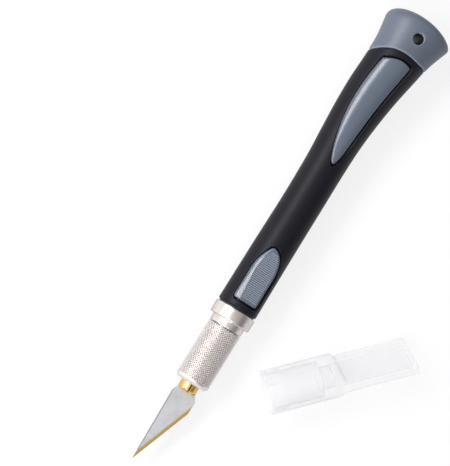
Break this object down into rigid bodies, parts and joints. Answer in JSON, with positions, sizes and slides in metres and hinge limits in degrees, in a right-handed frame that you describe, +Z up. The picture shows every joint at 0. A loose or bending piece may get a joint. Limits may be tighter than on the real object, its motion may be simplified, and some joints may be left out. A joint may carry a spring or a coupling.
{
  "type": "craft knife",
  "caption": "Slim craft knife lying on its flank: flared soft handle with grey inlays, knurled chuck, brass collet and pointed blade, with its clear safety cap taken off beside it.",
  "frame": {"origin": "middle of the footprint of the knife and its cap, on the table", "axes": "+X along the knife from the blade's tip to the end cap, +Y to the spine side, +Z up from the table, across the flat of the blade"},
  "size_m": [0.1656, 0.0686, 0.0183],
  "materials": {
    "blade_steel": "ground steel with a gold-coloured cutting bevel",
    "brass": "turned brass",
    "aluminium": "satin turned aluminium, diamond knurl on the sleeve",
    "soft_black": "matt soft-touch moulding",
    "black_nylon": "black nylon",
    "blue_grey_plastic": "satin blue-grey moulded plastic",
    "core_plastic": "dark moulded plastic",
    "clear_plastic": "clear moulded plastic"
  },
  "bodies": {
    "handle": {"handle_core": "core_plastic", "core_insert": "brass", "collar": "aluminium", "collar_washer": "black_nylon", "grip_sleeve": "soft_black", "end_cap": "blue_grey_plastic", "finger_pad_upper": "blue_grey_plastic", "finger_pad_lower": "blue_grey_plastic", "side_inlay_upper": "blue_grey_plastic", "side_inlay_lower": "blue_grey_plastic"},
    "collet_body": {"collet": "brass"},
    "sleeve_body": {"chuck_sleeve": "aluminium"},
    "blade_body": {"blade": "blade_steel"},
    "cap_body": {"safety_cap": "clear_plastic"}
  },
  "joints": [
    {"name": "collet_draw", "type": "slide", "parent": "handle", "child": "collet_body", "axis": [-0.9998, 0, -0.0207], "range_m": [0, 0.0015]},
    {"name": "sleeve_turn", "type": "hinge", "parent": "collet_body", "child": "sleeve_body", "pos_m": [-0.04347, 0.02552, 0.00663], "axis": [-0.9998, 0, -0.0207], "range_deg": [0, 720]},
    {"name": "blade_pull", "type": "slide", "parent": "collet_body", "child": "blade_body", "axis": [-0.9998, 0, -0.0207], "range_m": [0, 0.016]},
    {"name": "cap_lift", "type": "slide", "parent": "handle", "child": "cap_body", "axis": [0, 0, 1], "range_m": [0, 0.06]}
  ],
  "couplings": [
    {"joint": "sleeve_turn", "follows": "collet_draw", "rad_per_m": 8377.5}
  ]
}
